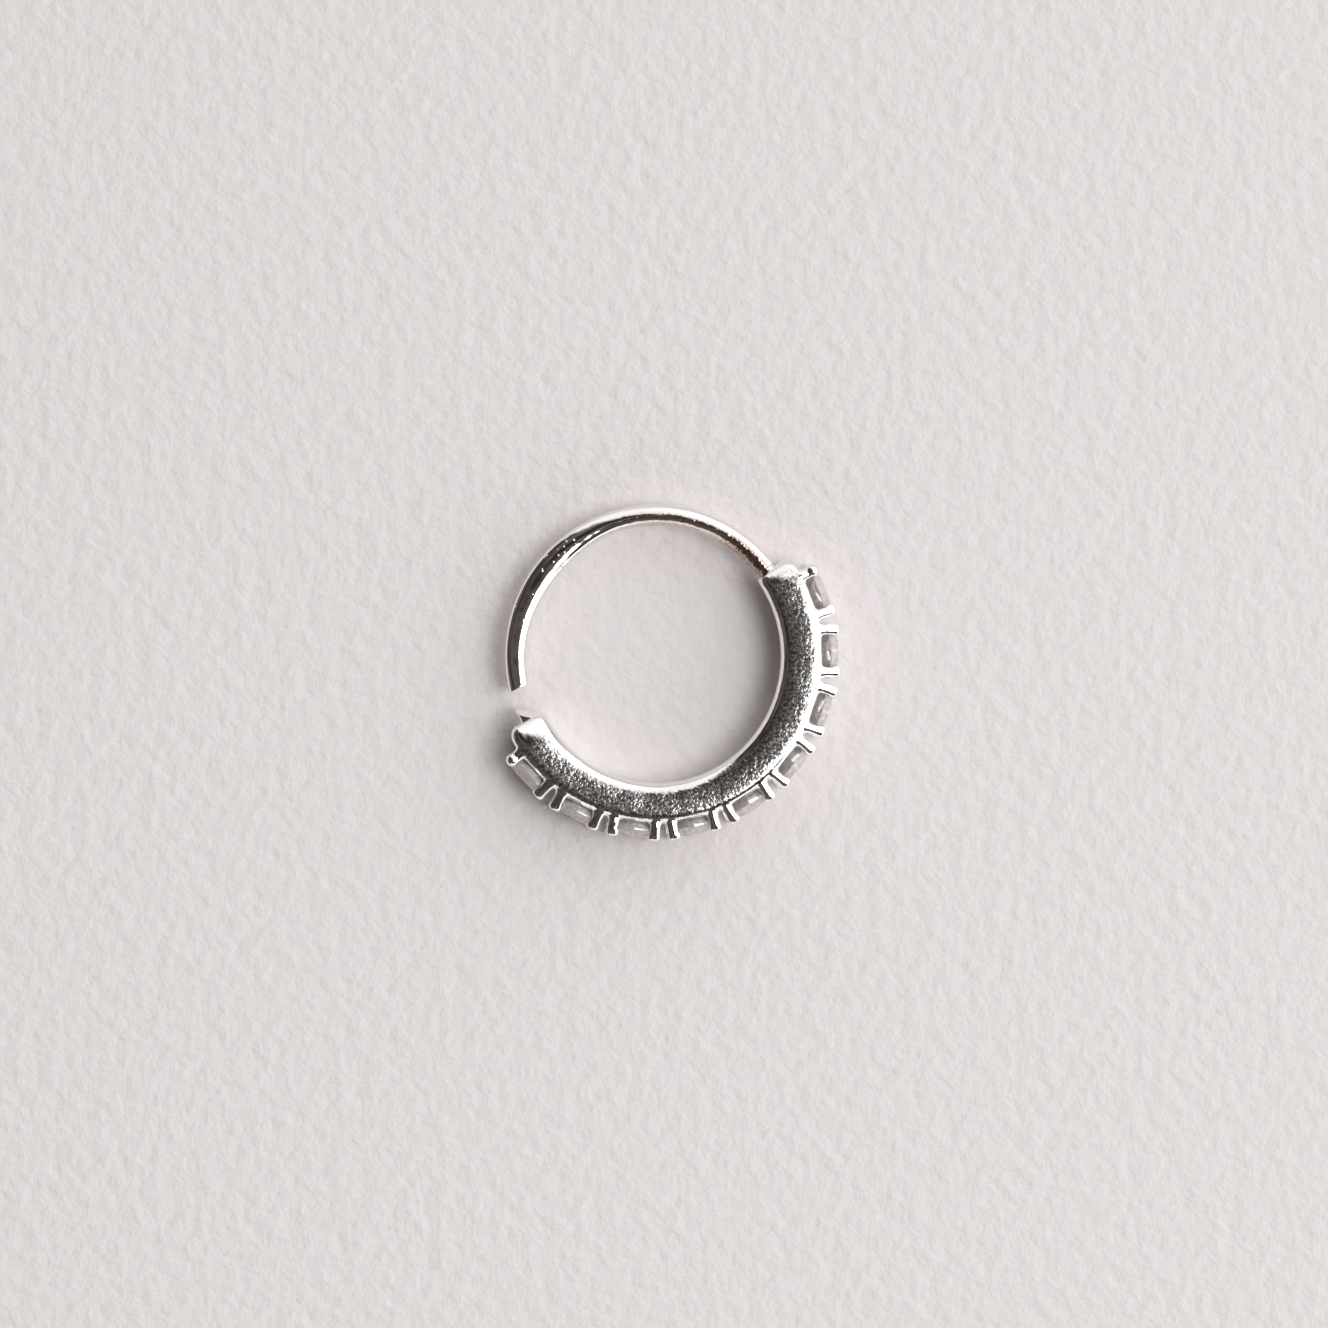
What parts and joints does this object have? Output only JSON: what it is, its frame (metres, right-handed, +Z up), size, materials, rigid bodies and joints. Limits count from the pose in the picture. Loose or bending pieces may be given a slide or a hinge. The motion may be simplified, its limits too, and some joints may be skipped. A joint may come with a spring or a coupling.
{
  "type": "nose ring",
  "caption": "Open hoop nose ring of polished silver: a thin round wire over one half, and over the other a thick bar set along its rim with round clear stones in prongs.",
  "frame": {"origin": "middle of the underside of the ring's box, as it lies on its side on a table", "axes": "+Z up, out of the hoop's plane; +X and +Y in the hoop's plane, the opening in the hoop towards -X and the thick bar towards +X and -Y"},
  "size_m": [0.0104, 0.0104, 0.0016],
  "materials": {
    "silver": "polished silver, the bar's flat sides left with a fine dark cast grain",
    "clear_stone": "polished round brilliant cut, clear"
  },
  "bodies": {
    "root": {"hoop": "silver", "stone_1": "clear_stone", "stone_2": "clear_stone", "stone_3": "clear_stone", "stone_4": "clear_stone", "stone_5": "clear_stone", "stone_6": "clear_stone", "stone_7": "clear_stone", "stone_8": "clear_stone", "stone_9": "clear_stone"}
  },
  "joints": []
}
